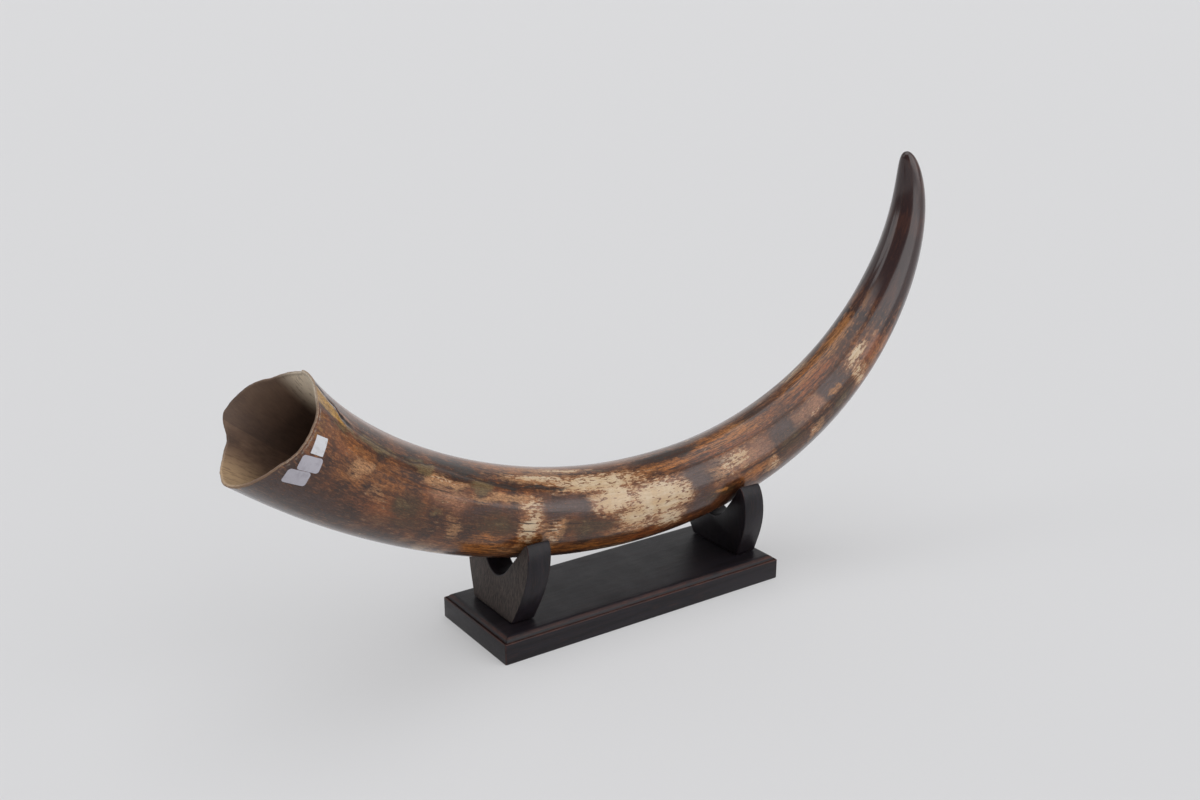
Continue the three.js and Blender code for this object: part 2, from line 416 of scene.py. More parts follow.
# %% The centre line: each point adds one step of the growing direction
AXIS_STEPS = 400
index = Wire.add(growth, "GeometryNodeInputIndex")
step_share = (index + 0.5) * (1 / AXIS_STEPS)
forward, _, _ = growth_axes(step_share)
chain = Wire.add(growth, "GeometryNodeMeshLine", {"mode": "OFFSET"}, {"Count": AXIS_STEPS + 1})
walked = Wire.add(growth, "GeometryNodeAccumulateField", {"data_type": "FLOAT_VECTOR"},
                  {"Value": forward * (length * (MM / AXIS_STEPS))})
start = tuple(c * MM for c in ROOT_CENTRE)
chain = Wire.add(growth, "GeometryNodeSetPosition", None,
                 {"Geometry": chain, "Position": walked.out("Trailing") + start})
centre_line = Wire.add(growth, "GeometryNodeMeshToCurve", None, {"Mesh": chain})


# %% Radius, rim and surface point at a share of the length
ROUNDING = 1e-6  # more than a share's rounding error, so that the tip closes in one point


def bark_radius(share):
    """Millimetres from the centre line to the bark: an even body, a flared root and a blunt tip."""
    short_of_tip = 1.0 - ROUNDING - share.max(0.0) ** given.out("Taper Start")
    body = short_of_tip.max(0.0) ** given.out("Taper End")
    flare = (-(share / given.out("Flare Reach"))).exp() * (1.0 - share)
    return body * given.out("Body Radius") + flare * given.out("Root Flare")


def rim_setback(turn):
    """How far the broken rim stands back, in millimetres: a curve through twelve marks round it."""
    node = Wire.add(growth, "ShaderNodeFloatCurve", None, {"Value": (turn / 360.0).sum("FRACT")})
    curve = node.socket.node.mapping.curves[0]
    marks = [(i / 12, (RIM_SETBACK[i % 12] - LEAST_SETBACK) / SETBACK_SPAN) for i in range(13)]
    curve.points[0].location = marks[0]
    curve.points[1].location = marks[12]
    for mark in marks[1:12]:
        curve.points.new(*mark)
    node.socket.node.mapping.update()
    return node * SETBACK_SPAN + LEAST_SETBACK


def broken_rim(turn):
    """The rim's share of the length: its setback, chipped by noise that closes on itself."""
    angle = turn * math.radians(1)
    circle = vector(growth, angle.cos(), angle.sin(), 0.0) * 37.0
    chips = (circle + seed_shift).grain(0.22, 3.0, 0.6)
    return (rim_setback(turn) + (chips - 0.5) * CHIP_DEPTH + RIM_OFFSET) / length


def surface_point(share, turn, radius):
    """The point at a radius from the centre line, and the same point on the straightened tusk."""
    beyond = share - share.max(0.0).min(1.0)
    sample = Wire.add(growth, "GeometryNodeSampleCurve", {"mode": "FACTOR"},
                      {"Curves": centre_line, "Factor": share})
    forward, upper, near = growth_axes(share.max(0.0))
    angle = turn * math.radians(1)
    outward = upper * angle.cos() + near * angle.sin()
    place = sample.out("Position") + forward * (beyond * length * MM) + outward * (radius * MM)
    straight = vector(growth, share * length, -(angle.sin() * radius), angle.cos() * radius)
    return place, straight


def sheet_of(rings):
    """A grid to be wrapped round: its rank runs 0 to 1 along, and its turn once round."""
    grid = Wire.add(growth, "GeometryNodeMeshGrid", None, {
        "Size X": 1.0, "Size Y": 1.0, "Vertices X": rings + 1, "Vertices Y": SIDES + 1,
    })
    x, y, _ = Wire.add(growth, "GeometryNodeInputPosition").split()
    return grid, x + 0.5, (y + 0.5) * 360.0 + SEAM_ANGLE


def wrapped(grid, place, straight, behind, material):
    """The grid put in place. Its straightened place and its millimetres behind the rim are kept."""
    kept = Wire.add(growth, "GeometryNodeStoreNamedAttribute", {"data_type": "FLOAT_VECTOR"},
                    {"Geometry": grid, "Name": "grown", "Value": straight})
    kept = Wire.add(growth, "GeometryNodeStoreNamedAttribute", {"data_type": "FLOAT"},
                    {"Geometry": kept, "Name": "behind_rim", "Value": behind})
    laid = Wire.add(growth, "GeometryNodeSetPosition", None, {"Geometry": kept, "Position": place})
    return Wire.add(growth, "GeometryNodeSetMaterial", None,
                    {"Geometry": laid, "Material": material})


# %% [markdown]
# The bark isn't a turned surface. It swells and sinks a little, faint flutes run along it, a seam
# follows its upper side, and at the rim that seam opens as a crack with a raised border. These are
# small changes of the radius, so they are added before the grid is wrapped. Each line is a list of
# corners: millimetres along the tusk, then degrees round it.

# %% Relief of the bark
CRACK_LINE = [(0, 29), (9, 31), (20, 33.5), (24, 39.5), (30, 42), (38, 42.5)]
SEAM_LINE = [
    (38, 42.5), (60, 44), (84, 44.5), (104, 37), (120, 38), (146, 43), (176, 44), (205, 41),
]
LOW_SEAM_LINE = [(356, 83), (380, 84), (420, 85), (445, 87), (480, 91)]
TIP_FLUTE_LINE = [(490, -7), (540, -3), (590, 1), (640, 2)]
GROOVES = (  # line, degrees to one side of it, half width in degrees, millimetres deep
    (CRACK_LINE, 0.0, 1.6, 1.3),
    (CRACK_LINE, -5.0, 6.0, -0.5),
    (SEAM_LINE, 0.0, 2.2, 0.35),
    (LOW_SEAM_LINE, 0.0, 1.6, 0.25),
    (TIP_FLUTE_LINE, 0.0, 9.0, 0.25),
)


def groove(along, turn, line, half_width):
    """1 in the middle of a line that runs along the tusk, 0 past its half width in degrees."""
    off = (turn - along_path(along, line)).abs()
    first, last = line[0][0], line[-1][0]
    return off.step(half_width, 0.0) * along.within(first - 2, first, last - 12, last)


def bark_relief(straight, share, turn):
    """Millimetres that the bark stands out or sinks, never more than a little outwards."""
    along = share * length
    swell = (straight * (0.35, 1.0, 1.0) + seed_shift).grain(0.028, 2.0) - 0.6
    flutes = (straight * (0.02, 1.0, 1.0) + seed_shift).grain(0.16, 2.0) - 0.6
    height = swell * 0.9 + flutes * 0.5
    for line, aside, half_width, depth in GROOVES:
        height = height - groove(along, turn + aside, line, half_width) * depth
    fade = share.step(1.0, 0.93)
    return height * fade * given.out("Relief")


# %% The bark, the rim and the hollow
grid, rank, turn = sheet_of(BARK_RINGS)
even = rank - (rank * (2 * math.pi)).sin() * (RING_CROWDING / (2 * math.pi))
rim_share = broken_rim(turn)
share = rim_share + (1.0 - rim_share) * even
plain = bark_radius(share)
_, straight = surface_point(share, turn, plain)
radius = plain + bark_relief(straight, share, turn)
place, _ = surface_point(share, turn, radius)
bark = wrapped(grid, place, straight, (share - rim_share) * length, given.out("Bark"))

grid, rank, turn = sheet_of(LIP_RINGS)
rim_share = broken_rim(turn)
swept = rank * math.pi
plain = bark_radius(rim_share)
_, straight = surface_point(rim_share, turn, plain)
outer = plain + bark_relief(straight, rim_share, turn)
wall = given.out("Rim Wall")
lip_share = rim_share - swept.sin() * (LIP_BULGE / TUSK_LENGTH)
lip_radius = outer - (1.0 - swept.cos()) * 0.5 * (wall + (outer - plain))
place, straight = surface_point(lip_share, turn, lip_radius)
lip = wrapped(grid, place, straight, rank, given.out("Dentine"))

grid, rank, turn = sheet_of(CAVITY_RINGS)
rim_share = broken_rim(turn)
share = rim_share * (1.0 - rank) + given.out("Cavity Depth") / length * rank
radius = (bark_radius(share) - wall) * (1.0 - rank) ** given.out("Cavity Fullness")
place, straight = surface_point(share, turn, radius)
hollow = wrapped(grid, place, straight, (share - rim_share) * length + 1.0, given.out("Dentine"))

# %% Join the three, close the seam and the poles
joined = Wire.add(growth, "GeometryNodeJoinGeometry")
for part in (bark, lip, hollow):
    growth.links.new(part.socket, joined.socket.node.inputs[0])
closed = Wire.add(growth, "GeometryNodeMergeByDistance", None,
                  {"Geometry": joined, "Distance": WELD_WITHIN})
smooth = Wire.add(growth, "GeometryNodeSetShadeSmooth", None, {"Geometry": closed})
whole = Wire.add(growth, "GeometryNodeRealizeInstances", None, {"Geometry": smooth})
output = growth.nodes.new("NodeGroupOutput")
growth.links.new(whole.socket, output.inputs["Geometry"])
print("nodes in the tusk's tree:", len(growth.nodes))

# %% Grow the tusk and keep the plain mesh
bark_finish, bark_tree = new_finish("tusk bark")
dentine_finish, dentine_tree = new_finish("tusk dentine")


def grown_mesh(name, tree, settings):
    """Evaluates a node tree on an empty mesh, and returns a plain mesh object with its result."""
    holder = bpy.data.objects.new(name, bpy.data.meshes.new(name))
    scene.collection.objects.link(holder)
    modifier = holder.modifiers.new("growth", "NODES")
    modifier.node_group = tree
    sockets = {s.name: s.identifier for s in tree.interface.items_tree if s.in_out == "INPUT"}
    for key, value in settings.items():
        modifier[sockets[key]] = value
    evaluated = holder.evaluated_get(bpy.context.evaluated_depsgraph_get())
    mesh = bpy.data.meshes.new_from_object(evaluated)
    holder.modifiers.remove(modifier)
    holder.data = mesh
    mesh.name = name
    while mesh.materials[0] is None:
        mesh.materials.pop(index=0)
    return holder


def face_outwards(mesh):
    """Turns the faces of a closed mesh so that they all point out of its material."""
    shell = bmesh.new()
    shell.from_mesh(mesh)
    bmesh.ops.recalc_face_normals(shell, faces=shell.faces)
    if shell.calc_volume(signed=True) < 0:
        bmesh.ops.reverse_faces(shell, faces=shell.faces)
    open_edges = sum(1 for edge in shell.edges if len(edge.link_faces) != 2)
    volume = shell.calc_volume(signed=True)
    shell.to_mesh(mesh)
    shell.free()
    return open_edges, volume


tusk = grown_mesh("tusk_body", growth, {
    **SHAPE_INPUTS, "Seed": NOISE_SEED, "Bark": bark_finish, "Dentine": dentine_finish,
})
open_edges, volume = face_outwards(tusk.data)
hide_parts("tusk")
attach(tusk, "root")
print(f"tusk: {len(tusk.data.polygons)} faces, {open_edges} open edges, {volume * 1e6:.0f} cm3")
print("materials:", [m.name for m in tusk.data.materials])

# %% [markdown]
# ## The bark's colours
#
# Mammoth ivory lay in frozen ground for thousands of years, and its bark took up iron and other
# minerals in bands: cream where it stayed clean, amber, violet brown, olive and slate where it
# didn't, and nearly black at the tip. Then it was polished and varnished. An image would fix all
# this at one sharpness. Instead the mesh carries its place on the straightened tusk, in millimetres
# along and round it, and the finish paints marks there by rule. Noise that is stretched along the
# tusk frays the marks into fibres, as the real stain follows the grain of the tooth.

# %% Places on the straightened tusk
def place_on_tusk(tree):
    """The straightened place, millimetres along, degrees round and millimetres behind the rim."""
    grown = Wire.add(tree, "ShaderNodeAttribute", {"attribute_name": "grown"}).out("Vector")
    along, side, up = grown.split()
    turn = (-side).sum("ARCTAN2", up) * math.degrees(1)
    turn = turn.sum("WRAP", SEAM_ANGLE + 360.0, SEAM_ANGLE)
    behind = Wire.add(tree, "ShaderNodeAttribute", {"attribute_name": "behind_rim"}).out("Fac")
    return grown, along, turn, behind


grown, along, turn, behind_rim = place_on_tusk(bark_tree)
here = vector(bark_tree, along, turn, 0.0)
cloud = (grown * (0.5, 1.0, 1.0)).grain(0.05, 3.0)
band = (grown * (1.0, 0.25, 0.25)).grain(0.085, 3.0, 0.55)
streak = (grown * (0.09, 1.0, 1.0)).grain(0.32, 3.0)
fibre = (grown * (0.10, 1.0, 1.0)).grain(1.1, 3.0, 0.6)
fleck = (grown * (0.34, 1.0, 1.0)).grain(0.62, 3.0, 0.65)
grit = (grown * (0.40, 1.0, 1.0)).grain(1.5, 3.0, 0.7)
lines = (grown * (0.055, 1.0, 1.0)).grain(0.62, 4.0, 0.7)
crumb = (grown * (0.36, 1.0, 1.0) + 50.0).grain(0.55, 3.0, 0.6)
wander = ((grown * (0.8, 1.0, 1.0)).grain(0.075, 3.0).out("Color") - 0.5) * (30.0, 26.0, 0.0)
soft_here = here + wander
dissolve = (fleck - 0.5) * 1.3 + (fibre - 0.5) * 0.8 + (lines - 0.5) * 0.8
print("nodes so far:", len(bark_tree.nodes))


# %% Marks and layers
def mark(place, at_along, at_turn, half_along, half_turn, feather=0.5):
    """1 inside an oval on the straightened tusk, fading over its edge."""
    off = (place - (at_along, at_turn, 0.0)) * (1 / half_along, 1 / half_turn, 0.0)
    return off.length().step(1 + feather, 1 - feather)


def marks(place, ovals, feather=0.5):
    """All the ovals of one layer. Each is along, turn, half along, half turn and strength."""
    total = None
    for at_along, at_turn, half_along, half_turn, strength in ovals:
        one = mark(place, at_along, at_turn, half_along, half_turn, feather) * strength
        total = one if total is None else total.max(one)
    return total


def ragged(field, share=1.0, blur=0.30):
    """A soft field cut to ragged edges by the flecks: whole inside, crumbling outwards."""
    return (field + dissolve * share).step(0.50 - blur, 0.50 + blur)


def stain(under, tint, strength, ovals, feather=0.9, share=0.8, blur=0.30):
    """A tint laid over the colour so far, inside ovals with ragged edges."""
    return mix(ragged(marks(soft_here, ovals, feather), share, blur) * strength, under, tint)


CLEAN_CREAM = paint(206, 189, 162)
WARM_CREAM = paint(194, 168, 133)
TAN = paint(180, 136, 94)
PINK_TAN = paint(158, 110, 84)
AMBER = paint(172, 110, 54)
RUST = paint(136, 74, 36)
DARK_BROWN = paint(44, 28, 21)
VIOLET = paint(76, 57, 54)
OLIVE = paint(62, 50, 32)
PALE_OLIVE = paint(112, 96, 64)
SLATE = paint(44, 42, 40)
OCHRE = paint(172, 134, 66)
SPOT_OCHRE = paint(164, 112, 62)
NEARLY_BLACK = paint(29, 17, 14)

# %% Ground colour: brown that wanders between rust and tan
tone = cloud * 0.50 + band * 0.60 + lines * 0.45 - 0.275 + (fleck - 0.5) * 0.6
ground = Wire.add(bark_tree, "ShaderNodeValToRGB", {"stops": [
    (0.30, paint(38, 24, 18)), (0.42, paint(62, 38, 26)), (0.53, paint(92, 54, 30)),
    (0.65, paint(134, 82, 44)), (0.80, paint(172, 122, 74)),
]}, {"Fac": tone})
far_side = turn.step(8.0, -18.0).max(turn.step(128.0, 150.0))
unseen = far_side * along.within(60.0, 110.0, 430.0, 500.0)
hidden_cream = ragged((cloud * 0.7 + band * 0.5).step(0.52, 0.80)) * unseen
colour = mix(hidden_cream * 0.85, ground, WARM_CREAM)
root_shade = along.step(150.0, 30.0) * (turn + (cloud - 0.5) * 40.0).step(104.0, 124.0)
colour = mix(root_shade * 0.7, colour, paint(42, 34, 32))
colour = mix(marks(soft_here, [
    (50, 6, 70, 16, 0.8), (190, 0, 50, 14, 0.7), (270, -6, 50, 14, 0.7), (380, -12, 40, 14, 0.5),
]), colour, paint(138, 98, 74))

# %% Soft layers
colour = stain(colour, AMBER, 0.8, [
    (300, 30, 30, 10, 0.8), (358, 20, 44, 20, 0.9), (447, 18, 34, 26, 0.8),
    (155, 130, 26, 18, 0.8), (40, 62, 22, 10, 0.6), (165, 12, 30, 12, 0.6),
    (370, 92, 14, 10, 0.7), (60, 78, 40, 16, 0.45), (195, 124, 36, 10, 0.7),
    (505, 97, 22, 8, 0.6), (60, 64, 26, 9, 0.5), (230, 128, 60, 9, 0.7), (487, 0, 26, 18, 0.9),
    (45, 90, 14, 12, 0.5), (150, 112, 12, 8, 0.7),
])
colour = stain(colour, RUST, 0.8, [
    (447, 30, 34, 12, 0.9), (400, 22, 14, 20, 0.5), (500, 80, 14, 11, 0.8), (75, 105, 30, 14, 0.5),
    (350, 36, 50, 6, 0.8), (520, 99, 18, 7, 0.6), (275, 124, 22, 10, 0.8), (30, 66, 10, 10, 0.5),
])
colour = stain(colour, TAN, 0.85, [
    (110, 55, 16, 7, 1.0), (113, 70, 14, 9, 0.6), (165, 62, 28, 6, 1.0), (201, 106, 7, 24, 0.9),
    (352, 62, 22, 17, 0.8), (385, 99, 9, 18, 0.9), (433, 62, 18, 15, 0.5), (428, 103, 11, 13, 0.9),
    (484, 92, 8, 24, 0.8), (48, 74, 5, 12, 0.75), (127, 104, 6, 14, 0.7), (122, 88, 8, 8, 0.4),
    (205, 10, 34, 8, 0.8), (62, 92, 5, 8, 0.5), (180, 128, 20, 10, 0.6), (375, 10, 22, 8, 0.5),
    (195, 28, 34, 8, 0.9), (270, 106, 30, 10, 0.8), (255, 30, 24, 8, 0.8), (190, 100, 14, 22, 0.6),
], share=1.1)
colour = mix(marks(soft_here, [
    (118, 74, 17, 8, 0.7), (373, 66, 13, 15, 0.7), (433, 62, 15, 14, 0.85), (345, 80, 14, 8, 0.4),
    (500, 70, 8, 12, 0.5), (185, 74, 10, 8, 0.5),
]) * (0.75 + dissolve * 0.5), colour, PINK_TAN)
print("nodes with the soft layers:", len(bark_tree.nodes))

# %% Cream, crumbling at its edges
cream_field = marks(here + wander * 0.4, [
    (236, 36, 36, 13, 1.0), (247, 60, 17, 19, 1.0), (284, 72, 27, 24, 1.0), (263, 88, 15, 12, 0.9),
    (292, 106, 12, 16, 0.8), (194, 27, 24, 5, 0.85), (216, 11, 20, 3, 0.7), (182, 66, 9, 10, 0.7),
    (182, 94, 8, 22, 0.82), (268, 104, 20, 8, 0.6), (351, 60, 14, 15, 0.72), (490, 58, 12, 9, 0.95),
    (483, 82, 7, 10, 0.75), (482, 100, 5, 10, 0.7), (386, 99, 5, 14, 0.6), (110, 53, 12, 3, 0.55),
    (424, 100, 4, 12, 0.4), (200, 98, 4, 20, 0.5), (430, 72, 6, 3, 0.5),
], 0.75)
halo = (cream_field + dissolve * 1.2).step(0.02, 0.50)
colour = mix(halo * 0.75, colour, mix(fleck, RUST, TAN))
cream = ragged(cream_field, 1.55, 0.09)
cream_colour = mix((streak + band).step(0.80, 1.25), CLEAN_CREAM, WARM_CREAM)
cream_colour = mix(cream_field.step(0.9, 0.45) * 0.4, cream_colour, TAN)
colour = mix(cream * 0.95, colour, cream_colour)
inner = cream_field.step(0.66, 0.95) * turn.step(30.0, 50.0)
crumbs = (crumb + (fibre - 0.5) * 0.3 - inner * 0.08).step(0.52, 0.58)
colour = mix(crumbs * cream * 0.9, colour, mix(fleck, paint(84, 48, 28), paint(126, 76, 42)))

# %% Dull patches over both
lined_violet = mix(lines.step(0.44, 0.62), VIOLET, paint(58, 42, 40))
flecked_olive = mix(fleck.step(0.44, 0.62), OLIVE, paint(86, 62, 38))
colour = stain(colour, lined_violet, 0.9, [
    (208, 66, 19, 14, 0.95), (320, 64, 12, 24, 0.95), (402, 56, 15, 14, 0.75),
    (458, 58, 13, 16, 0.95), (322, 96, 16, 14, 0.8), (335, 50, 12, 8, 0.5), (150, 76, 16, 6, 0.7),
    (25, 128, 34, 16, 0.6), (12, 50, 12, 5, 0.7), (135, 82, 12, 5, 0.5),
], 0.95, 0.8, 0.34)
colour = stain(colour, flecked_olive, 0.9, [
    (154, 94, 16, 14, 0.95), (90, 96, 11, 14, 0.85), (228, 96, 20, 13, 0.95),
    (405, 86, 12, 17, 0.8), (460, 96, 14, 13, 0.75), (92, 112, 16, 10, 0.6),
    (335, 96, 12, 12, 0.7), (60, 50, 18, 4, 0.4), (235, 114, 20, 6, 0.6),
], 0.95, 0.95, 0.32)
colour = stain(colour, SLATE, 0.9, [
    (306, 10, 28, 10, 0.95), (112, 30, 9, 5, 0.9), (132, 33, 14, 5, 0.95), (158, 43, 16, 4, 0.95),
    (122, 42, 10, 3, 0.7), (62, 52, 7, 3, 0.6), (268, 10, 16, 4, 0.5), (395, 6, 16, 10, 0.6),
    (190, 41, 22, 2.5, 0.7), (92, 30, 8, 4, 0.4), (84, 40, 16, 2.5, 0.7),
], 0.6, 0.5, 0.25)
colour = stain(colour, PALE_OLIVE, 0.82, [
    (56, 46, 16, 5, 0.95), (94, 45, 13, 6, 0.95), (139, 49, 11, 8, 0.9), (108, 93, 6, 6, 0.7),
    (88, 90, 5, 6, 0.5), (157, 94, 8, 6, 0.45), (30, 49, 11, 2.5, 0.8), (247, 14, 6, 3, 0.6),
    (222, 96, 5, 8, 0.5), (405, 80, 8, 8, 0.4), (456, 96, 8, 8, 0.5),
], share=0.7)
colour = stain(colour, SPOT_OCHRE, 0.9, [
    (459, 69, 5, 6, 0.9), (334, 93, 4, 5, 0.9), (487, 6, 24, 16, 0.85), (537, 16, 16, 9, 0.7),
], feather=0.8)
print("nodes with all marks:", len(bark_tree.nodes))


# %% The crack at the rim, its ochre border, and the seams
def line_mark(line, half_width, place_turn):
    """A mark that follows a bent line along the tusk."""
    off = (place_turn - along_path(along, line)).abs()
    ends = along.within(line[0][0] - 3, line[0][0], line[-1][0] - 6, line[-1][0] + 2)
    return off.step(half_width, half_width * 0.45) * ends


shaky_turn = turn + ((grown * (0.5, 1.0, 1.0)).grain(0.35, 3.0) - 0.5) * 5.0
ochre_line = [(-8, 39), (12, 40), (20, 43), (26, 47), (34, 48)]
ochre_width = along_path(along, [(0, 9.0), (14, 8.0), (24, 2.5), (40, 1.0)])
ochre_off = (shaky_turn - along_path(along, ochre_line)).abs() / ochre_width
ochre = ochre_off.step(1.0, 0.6) * along.step(34.0, 22.0)
colour = mix(ochre * (0.95 + dissolve * 0.35), colour, OCHRE)
colour = mix(line_mark(ochre_line, 1.3, shaky_turn + -7.0) * 0.6, colour, OLIVE)
lip_line = [(16, 31), (24, 36), (38, 40)]
colour = mix(line_mark(lip_line, 3.5, shaky_turn) * 0.75, colour, paint(166, 128, 106))
colour = mix(line_mark(SEAM_LINE, 1.5, shaky_turn) * 0.8, colour, DARK_BROWN)
colour = mix(line_mark(LOW_SEAM_LINE, 1.8, shaky_turn) * 0.8, colour, DARK_BROWN)
fibre_line = line_mark([(280, 38), (330, 41), (430, 42)], 2.6, shaky_turn)
colour = mix(fibre_line * dissolve.step(-0.1, 0.1) * 0.5, colour, DARK_BROWN)
crack_width = along_path(along, [(0, 3.8), (18, 4.0), (26, 5.4), (38, 3.0)])
steadier_turn = turn + (shaky_turn - turn) * 0.4
colour = mix(line_mark(CRACK_LINE, crack_width, steadier_turn), colour, NEARLY_BLACK)
near_side = turn.within(34.0, 46.0, 100.0, 118.0)
ochre_edge = behind_rim.within(1.5, 2.5, 5.0, 9.0) * turn.within(50.0, 58.0, 74.0, 86.0)
colour = mix(ochre_edge * (fleck * 2.0).step(0.8, 1.2) * 0.8, colour, paint(140, 98, 48))
rim_off = behind_rim + (fleck - 0.5) * 2.0
rim_line = rim_off.within(0.9, 1.3, 1.9, 2.4)
colour = mix(rim_line * near_side * streak.step(0.40, 0.56) * 0.6, colour, paint(158, 146, 132))

# %% Short splits across the clean bands
splits = None
for at_along, at_turn, half_along in (
    (108, 66, 11), (122, 97, 9), (178, 87, 6), (180, 97, 7), (176, 115, 7), (160, 131, 8),
    (169, 135, 9), (207, 113, 6), (150, 141, 9), (214, 88, 7), (197, 96, 5), (139, 113, 6),
    (440, 14, 4), (203, 72, 9),
):
    one = mark(here + wander * 0.12, at_along, at_turn, half_along, 0.9, 0.6)
    splits = one if splits is None else splits.max(one)
colour = mix(splits * 0.9, colour, DARK_BROWN)

# %% Fibres over everything, then the dark tip
tip = (along + (turn - 40.0).abs() * -0.15 + (streak - 0.5) * 60.0).step(492.0, 548.0)
unstained = along.step(520.0, 480.0) * (1.0 - cream * 0.85)
upper_lines = turn.step(46.0, 38.0) * along.step(262.0, 300.0)
lower_lines = turn.step(100.0, 112.0) * along.step(120.0, 160.0)
lined = (upper_lines * 0.62).max(lower_lines * 0.55) * unstained + unstained * 0.30
colour = mix(lines.step(0.49, 0.58) * lined, colour, paint(56, 30, 18))
colour = mix(fibre.step(0.52, 0.62) * lined * 0.8, colour, paint(60, 34, 21))
colour = mix((fleck * 0.6 + fibre * 0.4).step(0.50, 0.62) * 0.50 * unstained, colour, DARK_BROWN)
pale_flecks = (fleck * 0.5 + grit * 0.5).step(0.45, 0.37)
colour = mix(pale_flecks * 0.55 * unstained, colour, paint(154, 94, 50))
mottle = (grit + (fleck - 0.5) * 0.4).step(0.32, 0.68, -0.45, 0.42, smooth=False)
colour = colour * (1.0 + mottle * (1.0 - cream * 0.8) * (1.0 - tip * 0.6)) * (0.93, 0.89, 0.86)
tip_colour = mix((cloud + lines * 0.5).step(0.70, 1.0), paint(40, 18, 19), paint(70, 36, 26))
colour = mix(tip * 0.96, colour, tip_colour)

# %% The varnish and its small unevenness
gloss = 0.34 + (streak - 0.5) * 0.12 + cream * 0.08
bumpy = fibre * 0.35 + fleck * 0.25 + cloud * 1.5
finish_with(bark_tree, {
    "Base Color": colour, "Roughness": gloss, "Normal": bumped(bumpy, 0.22, 0.0006),
    "Specular IOR Level": 0.12, "Coat Weight": 0.8 + tip * 0.2, "Coat Roughness": 0.15,
    "Coat IOR": 1.5,
})
print("nodes in the bark's finish:", len(bark_tree.nodes))

# %% [markdown]
# Inside, the hollow shows bare dentine: dull brown, with fine fibres that run down into the root.
# The broken rim is paler, because it is fresher. Deeper in, the colour is darkened as painted
# shade.

# %% Dentine
inside, _, inner_turn, behind = place_on_tusk(dentine_tree)
runs = (inside * (0.05, 1.0, 1.0)).grain(0.75, 3.0, 0.6)
fine_runs = (inside * (0.08, 1.0, 1.0)).grain(2.4, 2.0, 0.6)
blots = inside.grain(0.045, 3.0)
# Its last term darkens the dentine over the first 60 mm into the hollow: painted shade.
shade = blots * 0.6 + runs * 0.25 + fine_runs * 0.15 + behind.step(0.0, 60.0) * -0.12
hollow_colour = Wire.add(dentine_tree, "ShaderNodeValToRGB", {"stops": [
    (0.30, paint(66, 49, 40)), (0.46, paint(100, 77, 62)), (0.60, paint(124, 98, 78)),
    (0.78, paint(150, 122, 98)),
]}, {"Fac": shade})
pale = inner_turn.within(-42.0, -10.0, 40.0, 56.0) * behind.step(80.0, 16.0)
pale = pale * behind.step(0.6, 3.0, 0.5)
low_pale = inner_turn.within(135.0, 170.0, 205.0, 245.0) * behind.step(40.0, 3.0)
left_wall = inner_turn.within(-160.0, -95.0, -60.0, -15.0)
streaks = runs.step(0.30, 0.60)
hollow_colour = mix(left_wall * 0.55, hollow_colour, paint(66, 50, 43))
hollow_colour = mix(pale * (streaks + 0.55).min(1.0), hollow_colour, paint(243, 228, 204))
low_pale = low_pale * (streaks + 0.3).min(1.0)
hollow_colour = mix(low_pale * 0.85, hollow_colour, paint(184, 156, 122))
# Painted shade: from 20 mm into the hollow the colour darkens further.
hollow_colour = mix(behind.step(20.0, 120.0) * 0.6, hollow_colour, paint(56, 41, 34))
speckle = inside.grain(0.9, 3.0, 0.6)
edge = (behind + (speckle - 0.5) * 0.6).step(0.55, 0.30)
hollow_colour = mix(edge * 0.75, hollow_colour, paint(120, 92, 68))
near_edge = edge * inner_turn.within(30.0, 44.0, 105.0, 125.0) * speckle.step(0.46, 0.60)
hollow_colour = mix(near_edge * 0.45, hollow_colour, paint(164, 150, 134))
dark_flake = behind.step(0.7, 0.4) * inner_turn.within(-94.0, -86.0, -66.0, -56.0)
hollow_colour = mix(dark_flake * (0.6 + speckle * 0.5), hollow_colour, paint(40, 32, 30))
finish_with(dentine_tree, {
    "Base Color": hollow_colour, "Roughness": 0.5 + (runs - 0.5) * 0.2,
    "Normal": bumped(runs * 0.8 + speckle * edge, 0.4, 0.0004),
})
print("nodes in the dentine's finish:", len(dentine_tree.nodes))

# %% [markdown]
# ## The stickers
#
# Three paper stickers sit beside the rim. Paper is thin and takes the tusk's curve exactly, so each
# one is laid on the finished bark. Every bark vertex knows its place on the straightened tusk, so a
# sticker's points are found there first, then carried over to the bent tusk and lifted by a hair.
# They are left bare.

# %% Lay paper on the bark
SKIN_RADIUS = 36.0
PAPER_RADIUS = 35.0
PAPER_LOW, PAPER_HIGH = 0.04, 0.16
OUTLINE_STEP = 0.8
NEAR_RIM = 40.0
body = tusk.data
body.calc_loop_triangles()
straight_of = [Vector(d.vector) for d in body.attributes["grown"].data]
bark_index = body.materials.find("tusk bark")
near_triangles = [tuple(t.vertices) for t in body.loop_triangles
                  if t.material_index == bark_index and straight_of[t.vertices[0]].x < NEAR_RIM]
straight_bark = BVHTree.FromPolygons(straight_of, near_triangles)


def on_bark(along_mm, angle, lift_mm):
    """The point above the bark at a place on the straightened tusk."""
    aim = Vector((along_mm, -SKIN_RADIUS * math.sin(angle), SKIN_RADIUS * math.cos(angle)))
    spot, _, found, _ = straight_bark.find_nearest(aim)
    ends = near_triangles[found]
    flat = [straight_of[i] for i in ends]
    point = barycentric_transform(spot, *flat, *[body.vertices[i].co for i in ends])
    normal = barycentric_transform(spot, *flat, *[body.vertices[i].normal for i in ends])
    return point + normal.normalized() * (lift_mm * MM)


def rounded_rectangle(half_x, half_y, radius, steps=6):
    points = []
    for quarter, (sx, sy) in enumerate(((1, 1), (-1, 1), (-1, -1), (1, -1))):
        for step in range(steps + 1):
            a = (quarter + step / steps) * math.pi / 2
            points.append((sx * (half_x - radius) + radius * math.cos(a),
                           sy * (half_y - radius) + radius * math.sin(a)))
    return points


